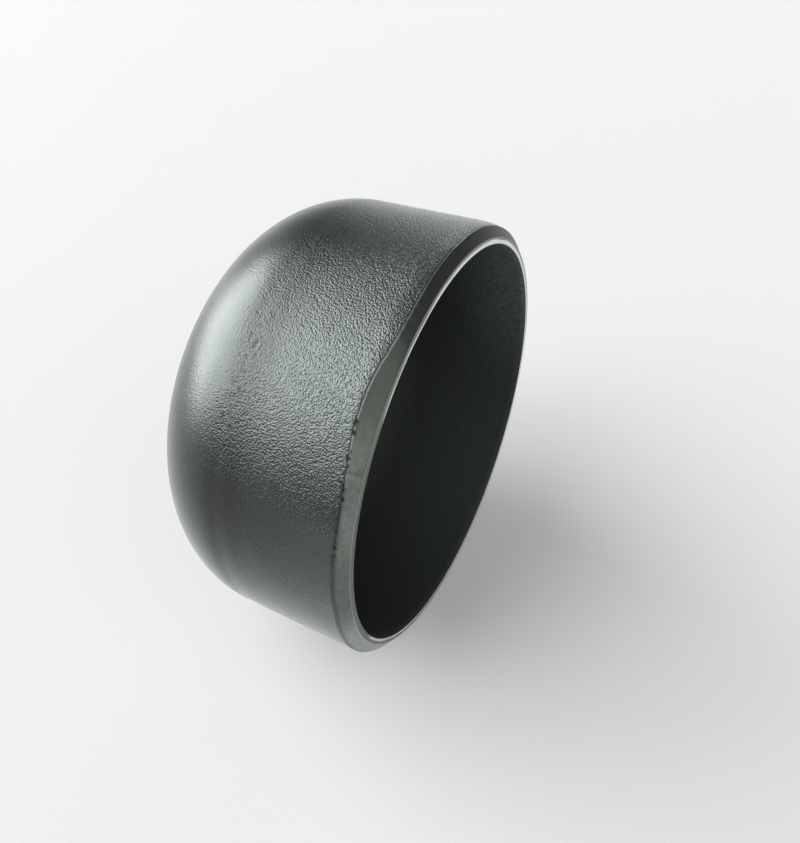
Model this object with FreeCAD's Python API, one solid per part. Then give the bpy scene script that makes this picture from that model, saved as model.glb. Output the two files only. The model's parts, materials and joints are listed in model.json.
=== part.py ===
import FreeCAD, Part
import math
import os

# Butt-weld pipe cap, DN 100 (4 inch), to close a 114.3 x 4.5 mm pipe. Sizes are in millimetres.
#
# The real cap is one piece: a steel plate pressed hot into a dished end with a short straight
# skirt, its free edge machined for welding. Nothing is screwed, pressed or welded into it.
#
# Frame: X is the cap's axis. X = 0 is the weld face, the open mouth looks along +X and the dome
# lies on the -X side, so the cap is on its side with +Z up. The origin is the mouth's centre.

OUTSIDE_DIAMETER = 114.3
WALL = 4.5
OVERALL_LENGTH = 67.0
KNUCKLE_RADIUS = 27.0  # outside radius of the tight curve that joins the skirt to the crown
CROWN_RADIUS = 103.0  # outside radius of the shallow curve over the middle of the dome
ROOT_FACE = 1.6  # flat ring left at the tip of the weld bevel
BEVEL_ANGLE = math.radians(37.5)  # from the plane of the weld face

OUTSIDE_RADIUS = OUTSIDE_DIAMETER / 2
BORE_RADIUS = OUTSIDE_RADIUS - WALL
ROOT_FACE_RADIUS = BORE_RADIUS + ROOT_FACE
BEVEL_LENGTH = (WALL - ROOT_FACE) * math.tan(BEVEL_ANGLE)

# The knuckle's arc is centred at the skirt's end, and the crown's arc on the axis. The two arcs
# are tangent where the line through their centres crosses them, at knuckle_turn from the axis.
KNUCKLE_CENTRE_RADIUS = OUTSIDE_RADIUS - KNUCKLE_RADIUS
KNUCKLE_TURN = math.asin(KNUCKLE_CENTRE_RADIUS / (CROWN_RADIUS - KNUCKLE_RADIUS))
CROWN_CENTRE_X = CROWN_RADIUS - OVERALL_LENGTH
SKIRT_END_X = CROWN_CENTRE_X - (CROWN_RADIUS - KNUCKLE_RADIUS) * math.cos(KNUCKLE_TURN)


def profile_point(x, radius):
    return FreeCAD.Vector(x, 0, radius)


def arc_point(centre_x, centre_radius, radius, turn):
    """The point of an arc that lies at turn from the axis, seen from the arc's centre."""
    return profile_point(
        centre_x - radius * math.cos(turn),
        centre_radius + radius * math.sin(turn),
    )


def dome_edges(inset):
    """The dome's half section from the skirt's end to the pole, set in from the outside."""
    knuckle_radius = KNUCKLE_RADIUS - inset
    crown_radius = CROWN_RADIUS - inset
    skirt_end = profile_point(SKIRT_END_X, OUTSIDE_RADIUS - inset)
    knuckle_middle = arc_point(
        SKIRT_END_X, KNUCKLE_CENTRE_RADIUS, knuckle_radius, (math.pi / 2 + KNUCKLE_TURN) / 2
    )
    join = arc_point(SKIRT_END_X, KNUCKLE_CENTRE_RADIUS, knuckle_radius, KNUCKLE_TURN)
    crown_middle = arc_point(CROWN_CENTRE_X, 0, crown_radius, KNUCKLE_TURN / 2)
    pole = arc_point(CROWN_CENTRE_X, 0, crown_radius, 0)
    return [
        Part.Arc(skirt_end, knuckle_middle, join).toShape(),
        Part.Arc(join, crown_middle, pole).toShape(),
    ]


def straight_edges(points):
    return [Part.makeLine(start, end) for start, end in zip(points, points[1:])]


def cap_body():
    """The whole cap: the wall's half section turned once round the axis."""
    outside = dome_edges(0)
    inside = dome_edges(WALL)
    weld_end = [
        profile_point(SKIRT_END_X, OUTSIDE_RADIUS),
        profile_point(-BEVEL_LENGTH, OUTSIDE_RADIUS),
        profile_point(0, ROOT_FACE_RADIUS),
        profile_point(0, BORE_RADIUS),
        profile_point(SKIRT_END_X, BORE_RADIUS),
    ]
    poles = [profile_point(-OVERALL_LENGTH, 0), profile_point(-OVERALL_LENGTH + WALL, 0)]
    edges = outside + straight_edges(weld_end) + inside + straight_edges(poles)
    section = Part.Face(Part.Wire(Part.__sortEdges__(edges)))
    return section.revolve(FreeCAD.Vector(0, 0, 0), FreeCAD.Vector(1, 0, 0), 360)


os.makedirs("parts", exist_ok=True)
cap = cap_body()
cap.exportStep("parts/cap_body.step")
print("skirt", round(-SKIRT_END_X, 2), "valid", cap.isValid(), "cm3", round(cap.Volume / 1000, 1))
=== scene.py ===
import bpy
import json
import math
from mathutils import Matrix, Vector, noise


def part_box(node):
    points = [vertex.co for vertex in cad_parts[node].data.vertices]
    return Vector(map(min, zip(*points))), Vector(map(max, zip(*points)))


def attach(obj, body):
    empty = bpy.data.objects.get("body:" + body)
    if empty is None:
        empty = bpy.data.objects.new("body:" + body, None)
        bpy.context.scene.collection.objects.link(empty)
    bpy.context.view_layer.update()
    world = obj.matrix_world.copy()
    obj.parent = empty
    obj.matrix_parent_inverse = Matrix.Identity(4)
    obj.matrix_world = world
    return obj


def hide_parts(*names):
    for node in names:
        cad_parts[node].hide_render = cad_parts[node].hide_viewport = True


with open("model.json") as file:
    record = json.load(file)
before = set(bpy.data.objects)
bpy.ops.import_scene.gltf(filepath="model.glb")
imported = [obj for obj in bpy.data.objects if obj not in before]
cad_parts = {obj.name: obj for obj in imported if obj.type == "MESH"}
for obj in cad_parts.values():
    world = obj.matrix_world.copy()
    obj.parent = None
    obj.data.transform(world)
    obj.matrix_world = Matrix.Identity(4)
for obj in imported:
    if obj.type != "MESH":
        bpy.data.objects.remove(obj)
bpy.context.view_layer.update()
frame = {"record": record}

# The pipe cap's visual model is one closed mesh with four surfaces: the varnished skin, the machined
# bevel, the root face and the inside. Small detail that the CAD leaves out is added to its outline.
#
# Sizes are in metres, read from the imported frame. The cap's axis is X and its mouth is at X = 0.
MM = 0.001
mounts = {mount["name"]: mount for mount in frame["record"]["mounts"]}
BORE_RADIUS = mounts["bore"]["dims"]["r_mm"] * MM
OUTSIDE_RADIUS = mounts["skirt_outside"]["dims"]["r_mm"] * MM
SKIRT_LENGTH = mounts["bore"]["dims"]["length_mm"] * MM
BEVEL_LENGTH = SKIRT_LENGTH - mounts["skirt_outside"]["dims"]["length_mm"] * MM
ROOT_FACE = 2 * (mounts["weld_face"]["pos_m"][2] - BORE_RADIUS)
ROOT_FACE_RADIUS = BORE_RADIUS + ROOT_FACE
BEVEL_SLOPE = BEVEL_LENGTH / (OUTSIDE_RADIUS - ROOT_FACE_RADIUS)  # length along X per radius
WALL = OUTSIDE_RADIUS - BORE_RADIUS
OVERALL_LENGTH = -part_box("cap_body")[0][0]
FLOOR_HEIGHT = -OUTSIDE_RADIUS

# The dome is two arcs: the knuckle, then the crown, which is tangent to it.
KNUCKLE_RADIUS = 27 * MM
KNUCKLE_CENTRE_RADIUS = OUTSIDE_RADIUS - KNUCKLE_RADIUS
DOME_DEPTH = OVERALL_LENGTH - SKIRT_LENGTH
CROWN_RADIUS = (DOME_DEPTH**2 - KNUCKLE_RADIUS**2 + KNUCKLE_CENTRE_RADIUS**2) / (
    2 * (DOME_DEPTH - KNUCKLE_RADIUS)
)
CROWN_CENTRE_X = CROWN_RADIUS - OVERALL_LENGTH
KNUCKLE_TURN = math.asin(KNUCKLE_CENTRE_RADIUS / (CROWN_RADIUS - KNUCKLE_RADIUS))

# Mesh density: fine on the skirt and the weld end, coarser on the dome and inside. A ring joins one
# with twice or half its segments, so each count is 12 times a power of two.
SKIRT_SEGMENTS = 768
SKIRT_STEP = 0.45 * MM
ROOT_STEP = 0.2 * MM
DOME_SEGMENTS = 384
DOME_STEP = 0.9 * MM
INSIDE_SEGMENTS = 192
INSIDE_STEP = 2 * MM
CORNER_CUT = 0.12 * MM  # how far from a sharp corner its two cut edges lie
HALVING_SHARE = 0.6  # a ring's segments are halved when its radius shrinks to this share
SPARSE_RING = 20  # a ring with no more segments than this isn't halved

# Places round the rim, as (start, end, fade). All are in degrees from the top towards the front.
WIDE_BEVEL = (44, 47, 16)  # the bevel is ground further back along the skirt here
PITTED_EDGE = (47, 77, 4)  # a row of pits follows the bevel's outer edge here, coloured with painted shade
CREASED_EDGE = (66, 130, 10)  # a fine crease follows it here, darkened with painted shade
RAGGED_EDGE = (25, 66, 15)  # it is ragged here
ROUNDED_EDGE = (-60, 40, 20)  # the skirt curves down to the bevel here
PITTED_BEND = (32, 56, 6)  # small pits where the skirt meets the knuckle, coloured with painted shade
LIGHT_AT_MOUTH = (3, 15, 10)  # the skin's colour is painted lightest near the mouth here, as painted light
SHADED_ROOT_STRETCH = (49, 114, 5)  # the root face is painted darker here, as painted shade
SCRATCH_TURN = 59  # a scratch runs across the bevel here
SCRATCH_SLANT = 0.5

# Layers of smooth noise, as (height, size of a lump, seed).
WALL_WAVES = (0.18 * MM, 40 * MM, 1)
COARSE_GRAIN = (0.03 * MM, 4 * MM, 5)
FINE_GRAIN = (0.02 * MM, 1.2 * MM, 7)
GRAIN_END = (1.5 * MM, 5 * MM, 29)
INSIDE_LUMPS = (0.06 * MM, 7 * MM, 9)
EDGE_WAVES = (0.22 * MM, 16 * MM, 11)
EDGE_RIPPLES = (0.1 * MM, 5 * MM, 13)
EDGE_RAGS = (0.13 * MM, 2 * MM, 23)
PIT_ROW = (0.2 * MM, 9 * MM, 17)
EDGE_PITS = (1, 0.9 * MM, 19)
BEND_PITS = (1, 0.9 * MM, 31)
COAT_RIM = (0.25 * MM, 6 * MM, 37)

# Sizes of the other relief.
HOLLOW_DEPTH = 0.12 * MM  # the faint hollow where the skirt meets the knuckle
HOLLOW_WIDTH = 2.2 * MM
HOLLOW_X = 1.5 * MM - SKIRT_LENGTH
ROUND_LENGTH = 3 * MM  # the skirt's curve down to the bevel, along X
ROUND_DROP = 0.5 * MM
WIDER_BEVEL = 1.4 * MM
SETTLE_LENGTH = 6 * MM  # how far behind the bevel the skirt starts to follow its wavy edge
SMOOTH_MOUTH = 6 * MM  # the inside has its full roughness this far from the mouth
SKIN_MARK_DEPTH = 0.2 * MM
BEVEL_MARK_DEPTH = 0.15 * MM


# ---------------------------------------------------------------- the wall's outline


def arc(centre_x, centre_radius, radius, start, end, step):
    """Points (x, radius) along an arc. Angles are from the cap's axis, seen from the arc's centre."""
    count = max(2, round(abs(end - start) * radius / step))
    turns = [start + (end - start) * i / count for i in range(count + 1)]
    return [
        (centre_x - radius * math.cos(turn), centre_radius + radius * math.sin(turn))
        for turn in turns
    ]


def line(start, end, step):
    """Points along a straight stretch of the outline, ends included."""
    count = max(1, round(math.dist(start, end) / step))
    return [
        (start[0] + (end[0] - start[0]) * i / count, start[1] + (end[1] - start[1]) * i / count)
        for i in range(count + 1)
    ]


def toward(start, end, distance):
    """The point that lies distance from start on the way to end."""
    share = distance / math.dist(start, end)
    return (start[0] + (end[0] - start[0]) * share, start[1] + (end[1] - start[1]) * share)


def dome(inset, step):
    """The dome's outline from the pole to the skirt, set in from the outside by inset."""
    crown = arc(CROWN_CENTRE_X, 0, CROWN_RADIUS - inset, 0, KNUCKLE_TURN, step)
    knuckle = arc(
        -SKIRT_LENGTH,
        KNUCKLE_CENTRE_RADIUS,
        KNUCKLE_RADIUS - inset,
        KNUCKLE_TURN,
        math.pi / 2,
        step,
    )
    return crown[1:] + knuckle[1:]


def outline():
    """The wall's outline from the outer pole round the weld end to the inner pole, without the
    poles themselves, as a list of (surface, segments, points)."""
    skirt_edge = (-BEVEL_LENGTH, OUTSIDE_RADIUS)
    root_outer = (0, ROOT_FACE_RADIUS)
    root_inner = (0, BORE_RADIUS)
    skirt_end = (-SKIRT_LENGTH, OUTSIDE_RADIUS)
    bore_end = (-SKIRT_LENGTH, BORE_RADIUS)
    skirt = line(skirt_end, toward(skirt_edge, skirt_end, CORNER_CUT), SKIRT_STEP)
    bevel = line(
        toward(skirt_edge, root_outer, CORNER_CUT),
        toward(root_outer, skirt_edge, CORNER_CUT),
        SKIRT_STEP,
    )
    root = line(
        toward(root_outer, root_inner, CORNER_CUT),
        toward(root_inner, root_outer, CORNER_CUT),
        ROOT_STEP,
    )
    bore = line(toward(root_inner, bore_end, CORNER_CUT), bore_end, INSIDE_STEP)
    inside = bore + dome(WALL, INSIDE_STEP)[::-1][1:]
    return [
        ("skin", DOME_SEGMENTS, dome(0, DOME_STEP)),
        ("skin", SKIRT_SEGMENTS, skirt[1:]),
        ("bevel", SKIRT_SEGMENTS, bevel),
        ("root", DOME_SEGMENTS, root),
        ("inside", INSIDE_SEGMENTS, inside),
    ]


SURFACES = ["skin", "bevel", "root", "inside"]


# ---------------------------------------------------------------- the surface's relief


def smooth_step(low, high, value):
    share = min(1, max(0, (value - low) / (high - low)))
    return share * share * (3 - 2 * share)


def wander(point, layer):
    """A layer of smooth noise at a point, from its height below zero to its height above."""
    height, size, seed = layer
    return height * noise.noise(point / size + Vector((seed, 2.7 * seed, 5.1 * seed)))


def along_rim(turn, place):
    """1 inside a place round the rim and 0 outside it, with a smooth fade at both ends."""
    start, end, fade = place
    return smooth_step(start - fade, start, turn) * smooth_step(end + fade, end, turn)


def form(point):
    """The pressed wall's slow waves, and a faint hollow where the skirt meets the knuckle, which is
    deepest at the front."""
    from_hollow = (point.x - HOLLOW_X) / HOLLOW_WIDTH
    depth = HOLLOW_DEPTH * smooth_step(20 * MM, -25 * MM, point.y)
    return wander(point, WALL_WAVES) - depth * math.exp(-from_hollow**2)


def rounded_drop(turn, from_edge):
    """How far the skirt curves down at a distance from the bevel's outer edge."""
    share = max(0, 1 - max(0, from_edge) / ROUND_LENGTH)
    return ROUND_DROP * share**2 * along_rim(turn, ROUNDED_EDGE)


def edge_place(point, turn):
    """Where the bevel cuts the skirt at a turn round the rim, as (x, radius)."""
    outward = Vector((0, point.y, point.z)).normalized()
    rim = Vector((-BEVEL_LENGTH, 0, 0)) + outward * OUTSIDE_RADIUS
    waves = wander(rim, EDGE_WAVES) + wander(rim, EDGE_RIPPLES)
    radius = OUTSIDE_RADIUS + form(rim) + waves - rounded_drop(turn, 0)
    wider = WIDER_BEVEL * along_rim(turn, WIDE_BEVEL)
    ragged = wander(rim, EDGE_RAGS) * along_rim(turn, RAGGED_EDGE)
    return -(radius - ROOT_FACE_RADIUS) * BEVEL_SLOPE - wider - ragged, radius


def grain_amount(point, turn):
    """How rough the pressed skin is: coarse on the skirt's side, finer on top and low down, faint on
    the dome, and smooth in a narrow strip beside the bevel."""
    beside_bevel = smooth_step(0, 0.6 * MM, -BEVEL_LENGTH - point.x)
    ragged = wander(point, GRAIN_END)
    on_skirt = smooth_step(-5 * MM, 2 * MM, point.x + SKIRT_LENGTH + ragged)
    coarser = smooth_step(-SKIRT_LENGTH, 0, point.x)
    low_down = smooth_step(48, 84, abs(turn))
    on_top = smooth_step(35, 5, abs(turn))
    on_skirt *= (0.5 + 0.4 * coarser) * (1 - 0.7 * low_down) * (1 - 0.5 * on_top)
    return beside_bevel * (0.26 + on_skirt)


def pit_depth(point, turn):
    """Small pits along the bevel's outer edge and along the bend of the knuckle, from 0 to 1."""
    from_edge = abs(point.x + BEVEL_LENGTH + 0.3 * MM + wander(point, PIT_ROW))
    edge_pits = smooth_step(0.05, 0.25, wander(point, EDGE_PITS))
    edge = smooth_step(0.7 * MM, 0.3 * MM, from_edge) * along_rim(turn, PITTED_EDGE)
    from_bend = abs(point.x + SKIRT_LENGTH - 3 * MM)
    bend_pits = smooth_step(0.28, 0.46, wander(point, BEND_PITS))
    bend = smooth_step(3 * MM, 1 * MM, from_bend) * along_rim(turn, PITTED_BEND)
    return edge * edge_pits + bend * bend_pits


def crease_depth(point, turn):
    """The crease along the bevel's outer edge, from 0 to 1; it is darkened with painted shade."""
    from_edge = abs(point.x + BEVEL_LENGTH)
    return smooth_step(0.45 * MM, 0.1 * MM, from_edge) * along_rim(turn, CREASED_EDGE)


def scratch_depth(point, turn):
    """The scratch that runs at a slant across the bevel, from 0 to 1."""
    slant = SCRATCH_SLANT * (point.x / BEVEL_LENGTH)
    return smooth_step(0.5, 0.1, abs(turn - SCRATCH_TURN - slant))


def marks_depth(point, turn, surface):
    """How deep the small marks are at a place, from 0 to 1; the colour darkens the pits and the
    crease with painted shade, and the scratch too.
    """
    if surface == "skin":
        return min(1, pit_depth(point, turn) + 0.6 * crease_depth(point, turn))
    if surface == "bevel":
        crease = 0.5 * crease_depth(point, turn)
        scratch = 0.3 * scratch_depth(point, turn)
        return min(1, pit_depth(point, turn) + crease + scratch)
    return 0


def painted_light_on_skin(point, turn):
    """Painted light and shade on the skin's colour: painted shade in a band at the knuckle's bend,
    and painted light towards the mouth above and low down.
    """
    from_neck = (point.x + SKIRT_LENGTH - 4 * MM) / (5 * MM)
    above = smooth_step(62, 48, abs(turn)) * (0.3 + 0.5 * along_rim(turn, LIGHT_AT_MOUTH))
    above *= smooth_step(-SKIRT_LENGTH, 0, point.x)
    low_down = 0.6 * smooth_step(-22 * MM, -2 * MM, point.x) * smooth_step(67, 75, abs(turn))
    return min(1, 0.4 + above + low_down - 0.4 * math.exp(-from_neck**2))


def painted_light_on_bevel(turn):
    """Painted light on the bevel's colour: darkest at the top, lighter at the front and lightest at
    the bottom, where it stands for the floor's reflected light.
    """
    front = 0.53 * smooth_step(42, 76, abs(turn))
    below_front = 0.17 * smooth_step(70, 82, abs(turn))
    bottom = 0.64 * smooth_step(92, 110, abs(turn))
    return front - below_front + bottom


def painted_light_inside(point):
    """Painted light on the inside's colour, lightest at the mouth's top."""
    return smooth_step(-30 * MM, -3 * MM, point.x) * smooth_step(-20 * MM, 35 * MM, point.z)


def bare_root_and_painted_shade(point, turn):
    """The root face is bare, but for a rim of varnish round its outer edge and one stretch painted
    darker as painted shade.
    """
    radius = math.hypot(point.y, point.z)
    covered = 0.55 * MM + 0.35 * MM * smooth_step(5, 30, turn)
    rim = ROOT_FACE_RADIUS - covered + wander(point, COAT_RIM)
    inner = smooth_step(rim + 0.15 * MM, rim - 0.15 * MM, radius)
    return inner * (1 - along_rim(turn, SHADED_ROOT_STRETCH))


def painted_light_and_bare_amount(point, turn, surface):
    """How light a place's colour is painted, from 0 to 1: painted light and shade on the skin, the
    bevel and the inside, and bare steel on the root face.
    """
    if surface == "skin":
        return painted_light_on_skin(point, turn)
    if surface == "bevel":
        return painted_light_on_bevel(turn)
    if surface == "inside":
        return painted_light_inside(point)
    return bare_root_and_painted_shade(point, turn)


def skin_relief(point, turn):
    """Height of the pressed skin above the true outline, in metres."""
    grain = wander(point, COARSE_GRAIN) + wander(point, FINE_GRAIN)
    marks = SKIN_MARK_DEPTH * marks_depth(point, turn, "skin")
    drop = rounded_drop(turn, -BEVEL_LENGTH - point.x)
    return form(point) + grain * grain_amount(point, turn) - marks - drop


# ---------------------------------------------------------------- the mesh


def ring_segments(radius, count):
    """Segments in a ring, halved as the ring shrinks towards a pole."""
    share = radius / OUTSIDE_RADIUS
    while count > SPARSE_RING and share < HALVING_SHARE:
        count //= 2
        share *= 2
    return count


def surface_point(x, outward, radius, normal, surface, turn):
    """A vertex of the wall with its relief."""
    point = Vector((x, 0, 0)) + outward * radius
    facing = Vector((normal[0], 0, 0)) + outward * normal[1]
    if surface == "skin":
        edge_x, edge_radius = edge_place(point, turn)
        near_edge = smooth_step(-BEVEL_LENGTH - SETTLE_LENGTH, -BEVEL_LENGTH, x)
        point.x += (edge_x + BEVEL_LENGTH) * near_edge
        true_radius = OUTSIDE_RADIUS + form(point) - rounded_drop(turn, 0)
        settle = (edge_radius - true_radius) * near_edge
        return point + facing * (skin_relief(point, turn) + settle)
    if surface == "bevel":
        edge_x, edge_radius = edge_place(point, turn)
        share = -x / BEVEL_LENGTH
        edge = Vector((edge_x, 0, 0)) + outward * edge_radius
        root = outward * ROOT_FACE_RADIUS
        marks = BEVEL_MARK_DEPTH * marks_depth(point, turn, "bevel")
        return root.lerp(edge, share) - facing * marks
    if surface == "inside":
        rough = wander(point, INSIDE_LUMPS) + form(point)
        return point + facing * rough * smooth_step(0, -SMOOTH_MOUTH, x)
    return point


def ring_points(x, radius, normal, surface, count):
    """A ring's vertices, and the surface's qualities at each of them as (grain, marks,
    painted_light_and_bare).
    """
    points = []
    qualities = []
    for i in range(count):
        turn = (360 * i / count + 180) % 360 - 180
        angle = math.radians(turn)
        outward = Vector((0, -math.sin(angle), math.cos(angle)))
        point = Vector((x, 0, 0)) + outward * radius
        grain = grain_amount(point, turn) if surface == "skin" else 0
        marks = marks_depth(point, turn, surface)
        qualities.append((grain, marks, painted_light_and_bare_amount(point, turn, surface)))
        points.append(surface_point(x, outward, radius, normal, surface, turn))
    return points, qualities


def bridge(first, first_count, second, second_count):
    """Faces between two rings of vertices. One ring may have twice the other's vertices."""
    faces = []
    if first_count == second_count:
        for i in range(first_count):
            j = (i + 1) % first_count
            faces.append((first + i, first + j, second + j, second + i))
        return faces
    flip = first_count < second_count
    many, many_count = (second, second_count) if flip else (first, first_count)
    few, few_count = (first, first_count) if flip else (second, second_count)
    for i in range(few_count):
        j = (i + 1) % few_count
        start, middle, end = (many + (2 * i + k) % many_count for k in range(3))
        fan = [
            (start, middle, few + i),
            (middle, few + j, few + i),
            (middle, end, few + j),
        ]
        faces += [face[::-1] for face in fan] if flip else fan
    return faces


def outline_normals(points):
    """Outward normals (x, radial) of the outline, from its neighbouring points."""
    normals = []
    for i in range(len(points)):
        before = points[max(0, i - 1)]
        after = points[min(len(points) - 1, i + 1)]
        along_x = after[0] - before[0]
        along_r = after[1] - before[1]
        size = math.hypot(along_x, along_r)
        normals.append((-along_r / size, along_x / size))
    return normals


def add_attributes(mesh, qualities):
    """Stores the surface's qualities on the vertices, where the materials read them."""
    for i, name in enumerate(("grain", "marks", "painted_light_and_bare")):
        stored = mesh.attributes.new(name, "FLOAT", "POINT")
        stored.data.foreach_set("value", [vertex[i] for vertex in qualities])


def make_cap():
    """The whole wall as one closed mesh, with a material slot for each surface."""
    stations = [
        (x, radius, surface, segments)
        for surface, segments, points in outline()
        for x, radius in points
    ]
    normals = outline_normals([(x, radius) for x, radius, _, _ in stations])
    vertices, qualities = ring_points(-OVERALL_LENGTH, 0, (-1, 0), "skin", 1)
    faces = []
    slots = []
    previous = None
    for (x, radius, surface, segments), normal in zip(stations, normals):
        count = ring_segments(radius, segments)
        start = len(vertices)
        points, ring_qualities = ring_points(x, radius, normal, surface, count)
        vertices += points
        qualities += ring_qualities
        if previous is None:
            new = [(0, start + (i + 1) % count, start + i) for i in range(count)]
        else:
            new = bridge(*previous, start, count)
        faces += new
        slots += [SURFACES.index(surface)] * len(new)
        previous = (start, count)
    start, count = previous
    pole = len(vertices)
    points, ring_qualities = ring_points(-OVERALL_LENGTH + WALL, 0, (1, 0), "inside", 1)
    vertices += points
    qualities += ring_qualities
    last = [(start + i, start + (i + 1) % count, pole) for i in range(count)]
    faces += last
    slots += [SURFACES.index("inside")] * len(last)
    mesh = bpy.data.meshes.new("cap")
    mesh.from_pydata(vertices, [], faces)
    mesh.polygons.foreach_set("material_index", slots)
    mesh.polygons.foreach_set("use_smooth", [True] * len(faces))
    add_attributes(mesh, qualities)
    mesh.update()
    cap = bpy.data.objects.new("cap", mesh)
    bpy.context.collection.objects.link(cap)
    return cap


# ---------------------------------------------------------------- materials


def new_material(name, roughness, metallic=0.0):
    material = bpy.data.materials.new(name)
    material.use_nodes = True
    shader = material.node_tree.nodes["Principled BSDF"]
    shader.inputs["Roughness"].default_value = roughness
    shader.inputs["Metallic"].default_value = metallic
    return material, material.node_tree, shader


def add_node(tree, kind, **settings):
    node = tree.nodes.new("ShaderNode" + kind)
    for name, value in settings.items():
        setattr(node, name, value)
    return node


def noise_texture(tree, size, detail, stretch=(1, 1, 1)):
    """Noise whose lumps are about size across, in the piece's own coordinates. stretch makes the
    lumps longer along an axis."""
    coordinates = add_node(tree, "TexCoord")
    mapping = add_node(tree, "Mapping")
    mapping.inputs["Scale"].default_value = [1 / (size * share) for share in stretch]
    texture = add_node(tree, "TexNoise")
    texture.inputs["Scale"].default_value = 1
    texture.inputs["Detail"].default_value = detail
    tree.links.new(coordinates.outputs["Object"], mapping.inputs["Vector"])
    tree.links.new(mapping.outputs["Vector"], texture.inputs["Vector"])
    return texture.outputs["Fac"]


def pebbles(tree, size):
    """Rounded bumps about size across, in the piece's own coordinates."""
    coordinates = add_node(tree, "TexCoord")
    texture = add_node(tree, "TexVoronoi", feature="SMOOTH_F1")
    texture.inputs["Scale"].default_value = 1 / size
    texture.inputs["Smoothness"].default_value = 0.6
    tree.links.new(coordinates.outputs["Object"], texture.inputs["Vector"])
    return maths(tree, "SUBTRACT", 1, texture.outputs["Distance"])


def attribute(tree, name):
    """One of the surface's qualities, as stored on the mesh."""
    return add_node(tree, "Attribute", attribute_name=name).outputs["Fac"]


def maths(tree, operation, first, second):
    """A Math node. first and second are sockets or plain numbers."""
    node = add_node(tree, "Math", operation=operation)
    for socket, value in zip(node.inputs, (first, second)):
        if isinstance(value, (int, float)):
            socket.default_value = value
        else:
            tree.links.new(value, socket)
    return node.outputs[0]


def ramp(tree, value, low, high):
    """0 where value is low, 1 where it is high, and straight between."""
    node = add_node(tree, "MapRange")
    node.inputs["From Min"].default_value = low
    node.inputs["From Max"].default_value = high
    tree.links.new(value, node.inputs["Value"])
    return node.outputs["Result"]


def blend(tree, factor, first, second):
    """A colour blended from first to second. Each is a colour or a socket."""
    node = add_node(tree, "Mix", data_type="RGBA")
    tree.links.new(factor, node.inputs["Factor"])
    for socket, value in ((node.inputs[6], first), (node.inputs[7], second)):
        if isinstance(value, tuple):
            socket.default_value = (*value, 1)
        else:
            tree.links.new(value, socket)
    return node.outputs[2]


def bump(tree, height, metres):
    """A bump of the given height in metres where height is 1."""
    node = add_node(tree, "Bump")
    node.inputs["Strength"].default_value = 1
    node.inputs["Distance"].default_value = metres
    tree.links.new(height, node.inputs["Height"])
    return node.outputs["Normal"]


# Linear colours, darker then lighter. On the skin, the bevel and the inside the pair paints light and
# shade; on the root face the lighter is bare steel and the darker is varnish and painted shade.
SKIN_COLOURS = (0.02, 0.0242, 0.0218), (0.065, 0.0765, 0.0745)
BEVEL_COLOURS = (0.082, 0.089, 0.079), (0.38, 0.412, 0.388)
ROOT_COLOURS = (0.25, 0.272, 0.257), (0.74, 0.76, 0.75)
INSIDE_COLOURS = (0.036, 0.045, 0.035), (0.13, 0.16, 0.16)
BEVEL_STAIN = (0.05, 0.055, 0.048)
INSIDE_STAIN = (0.025, 0.032, 0.024)
# painted shade in the pits and the crease, and the dark of the scratch
MARK_SHADE_COLOUR = (0.01, 0.012, 0.01)
SHEEN_COLOUR = (0.84, 1, 0.9)


def skin_material():
    """Dark varnish over coarse, shot-blasted steel, its colour carrying painted light and shade, and
    painted shade in its pits and crease.
    """
    material, tree, shader = new_material("varnished skin", 0.27, 0.85)
    shader.inputs["Coat Weight"].default_value = 0.6
    shader.inputs["Coat Roughness"].default_value = 0.3
    shader.inputs["Sheen Weight"].default_value = 0.14
    shader.inputs["Sheen Roughness"].default_value = 0.4
    shader.inputs["Sheen Tint"].default_value = (*SHEEN_COLOUR, 1)
    rough = maths(tree, "ADD", noise_texture(tree, 0.3 * MM, 1), pebbles(tree, 0.44 * MM))
    grain = maths(tree, "MULTIPLY", rough, attribute(tree, "grain"))
    normal = bump(tree, grain, 0.15 * MM)
    tree.links.new(normal, shader.inputs["Normal"])
    tree.links.new(normal, shader.inputs["Coat Normal"])
    colour = blend(tree, attribute(tree, "painted_light_and_bare"), *SKIN_COLOURS)
    # painted shade darkens the pits and the crease
    marked = blend(tree, attribute(tree, "marks"), colour, MARK_SHADE_COLOUR)
    tree.links.new(marked, shader.inputs["Base Color"])
    return material


def turning_lines(tree):
    """Fine rings left by the turning tool."""
    return noise_texture(tree, 0.25 * MM, 1, (1, 60, 60))


def bevel_material():
    """Machined steel under a stained film of the varnish, its colour carrying painted light from the
    top down to the bottom.
    """
    material, tree, shader = new_material("machined bevel", 0.36, 0.8)
    normal = bump(tree, turning_lines(tree), 0.012 * MM)
    tree.links.new(normal, shader.inputs["Normal"])
    # painted light: the bevel is coloured lighter towards the front and the bottom
    coat_and_painted_light = blend(tree, attribute(tree, "painted_light_and_bare"), *BEVEL_COLOURS)
    mottle = ramp(tree, noise_texture(tree, 1.1 * MM, 4), 0.3, 0.7)
    stained = blend(tree, maths(tree, "MULTIPLY", mottle, 0.3), coat_and_painted_light, BEVEL_STAIN)
    # painted shade darkens the pits and the crease, and the scratch is darker
    marked = blend(tree, attribute(tree, "marks"), stained, MARK_SHADE_COLOUR)
    tree.links.new(marked, shader.inputs["Base Color"])
    return material


def root_material():
    """Bare steel on the root face, varnished steel round its outer rim, and painted shade on one
    stretch.
    """
    material, tree, shader = new_material("bare root face", 0.36, 1.0)
    colour = blend(tree, attribute(tree, "painted_light_and_bare"), *ROOT_COLOURS)
    tree.links.new(colour, shader.inputs["Base Color"])
    return material


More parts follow.
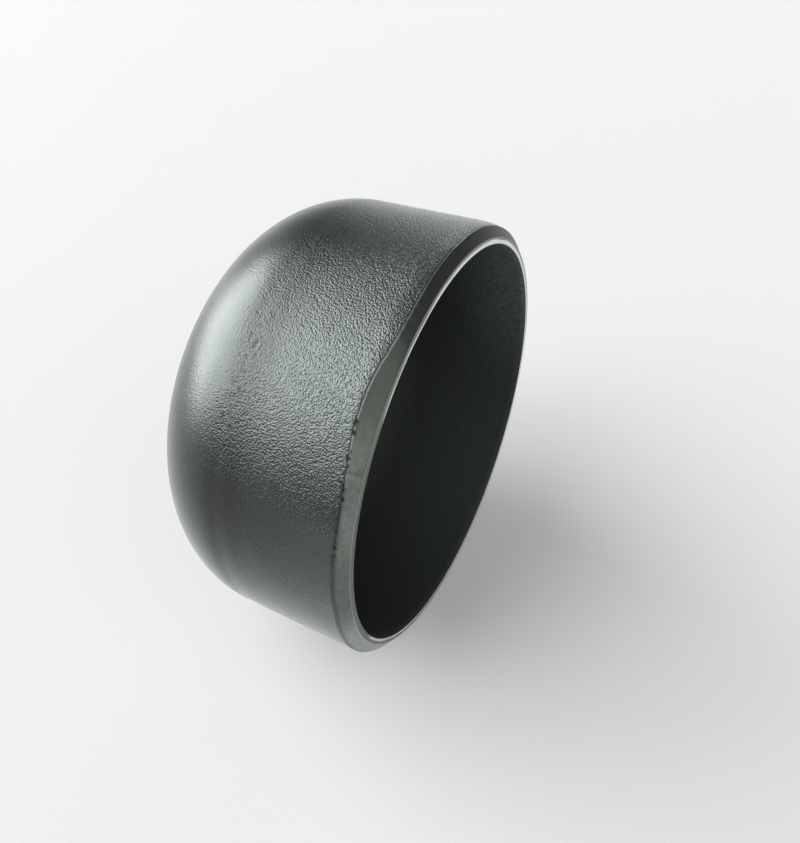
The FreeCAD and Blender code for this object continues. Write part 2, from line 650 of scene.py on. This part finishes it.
def inside_material():
    """Dull, scaly steel on the unmachined inside, its colour painted lighter towards the mouth's top
    as painted light.
    """
    material, tree, shader = new_material("inside scale", 0.75)
    mottle = noise_texture(tree, 1.5 * MM, 4)
    # painted light: the inside is coloured lighter towards the mouth's top
    scale_and_painted_light = blend(tree, attribute(tree, "painted_light_and_bare"), *INSIDE_COLOURS)
    stain = maths(tree, "MULTIPLY", ramp(tree, mottle, 0.35, 0.65), 0.4)
    stained = blend(tree, stain, scale_and_painted_light, INSIDE_STAIN)
    tree.links.new(stained, shader.inputs["Base Color"])
    normal = bump(tree, mottle, 0.15 * MM)
    tree.links.new(normal, shader.inputs["Normal"])
    return material


# ---------------------------------------------------------------- the studio

FLOOR_SIZE = 30  # metres, so that it reaches to the horizon
FLOOR_GREY = 0.25
FLOOR_GLOW = 0.25

# The backdrop's brightness at the horizon and higher up, and the heights where it starts and stops
# changing, as the upward share of a direction of length 1.
HORIZON_LIGHT = 0.8
SKY_LIGHT = 0.25
FADE_START = 0.02
FADE_END = 0.22

# The camera looks down at the cap from close by, so the view has strong perspective.
CAMERA_AZIMUTH = math.radians(27.5)
CAMERA_ELEVATION = math.radians(38.9)
CAMERA_DISTANCE = 178.3 * MM
CAMERA_AIM = Vector((-14.9, -3.2, 5.0)) * MM
CAMERA_LENS = 28.74


def make_floor():
    """A plain floor that glows a little, so that it is pale and its shadow stays light."""
    bpy.ops.mesh.primitive_plane_add(size=FLOOR_SIZE, location=(0, 0, FLOOR_HEIGHT))
    floor = bpy.context.object
    floor.name = "floor"
    material, _, shader = new_material("floor", 0.9)
    shader.inputs["Base Color"].default_value = (FLOOR_GREY, FLOOR_GREY, FLOOR_GREY, 1)
    shader.inputs["Emission Color"].default_value = (1, 1, 1, 1)
    shader.inputs["Emission Strength"].default_value = FLOOR_GLOW
    floor.data.materials.append(material)


def direction(azimuth, elevation):
    """Unit vector towards a place in the sky. Azimuth is from +X towards +Y. Both in degrees."""
    turn = math.radians(azimuth)
    lift = math.radians(elevation)
    return Vector((
        math.cos(turn) * math.cos(lift),
        math.sin(turn) * math.cos(lift),
        math.sin(lift),
    ))


def make_softbox(name, azimuth, elevation, half_width, radiance):
    """A round, evenly bright softbox, far enough away to light the whole floor evenly."""
    data = bpy.data.lights.new(name, "SUN")
    data.angle = 2 * math.radians(half_width)
    data.energy = radiance * math.pi * math.sin(math.radians(half_width)) ** 2
    light = bpy.data.objects.new(name, data)
    light.rotation_euler = direction(azimuth, elevation).to_track_quat("Z", "Y").to_euler()
    bpy.context.collection.objects.link(light)


def make_lights():
    """The key lights stand behind the dome, the fill in front of the mouth. Angles in degrees."""
    make_softbox("key", azimuth=204, elevation=41, half_width=38, radiance=4.4)
    make_softbox("key_top", azimuth=244, elevation=38, half_width=20, radiance=5.2)
    make_softbox("key_side", azimuth=184, elevation=27, half_width=24, radiance=3.6)
    make_softbox("key_low", azimuth=203, elevation=6, half_width=12, radiance=2.6)
    make_softbox("fill", azimuth=325, elevation=35, half_width=40, radiance=1.6)
    make_softbox("back", azimuth=100, elevation=26, half_width=14, radiance=2)
    make_softbox("back_side", azimuth=147, elevation=16, half_width=10, radiance=0.4)
    make_softbox("side_low", azimuth=167, elevation=3, half_width=12, radiance=1.3)


def make_world():
    """A backdrop that is pale at the horizon and darkens upwards."""
    world = bpy.data.worlds.new("studio")
    bpy.context.scene.world = world
    world.use_nodes = True
    tree = world.node_tree
    coordinates = add_node(tree, "TexCoord")
    split = add_node(tree, "SeparateXYZ")
    fade = add_node(tree, "MapRange", interpolation_type="SMOOTHSTEP")
    fade.inputs["From Min"].default_value = FADE_START
    fade.inputs["From Max"].default_value = FADE_END
    fade.inputs["To Min"].default_value = HORIZON_LIGHT
    fade.inputs["To Max"].default_value = SKY_LIGHT
    tree.links.new(coordinates.outputs["Generated"], split.inputs["Vector"])
    tree.links.new(split.outputs["Z"], fade.inputs["Value"])
    tree.links.new(fade.outputs["Result"], tree.nodes["Background"].inputs["Strength"])
    tree.nodes["Background"].inputs["Color"].default_value = (1, 1, 1, 1)


def make_camera():
    data = bpy.data.cameras.new("camera")
    data.lens = CAMERA_LENS
    data.clip_start = 0.01
    camera = bpy.data.objects.new("camera", data)
    back = Vector((
        math.sin(CAMERA_AZIMUTH) * math.cos(CAMERA_ELEVATION),
        -math.cos(CAMERA_AZIMUTH) * math.cos(CAMERA_ELEVATION),
        math.sin(CAMERA_ELEVATION),
    ))
    camera.location = CAMERA_AIM + back * CAMERA_DISTANCE
    camera.rotation_euler = (-back).to_track_quat("-Z", "Y").to_euler()
    bpy.context.collection.objects.link(camera)
    bpy.context.scene.camera = camera


cap = make_cap()
for material in (skin_material(), bevel_material(), root_material(), inside_material()):
    cap.data.materials.append(material)
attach(cap, "root")
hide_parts("cap_body")
make_floor()
make_lights()
make_world()
make_camera()
bpy.context.scene.view_settings.view_transform = "Standard"
bpy.context.scene.view_settings.gamma = 0.8
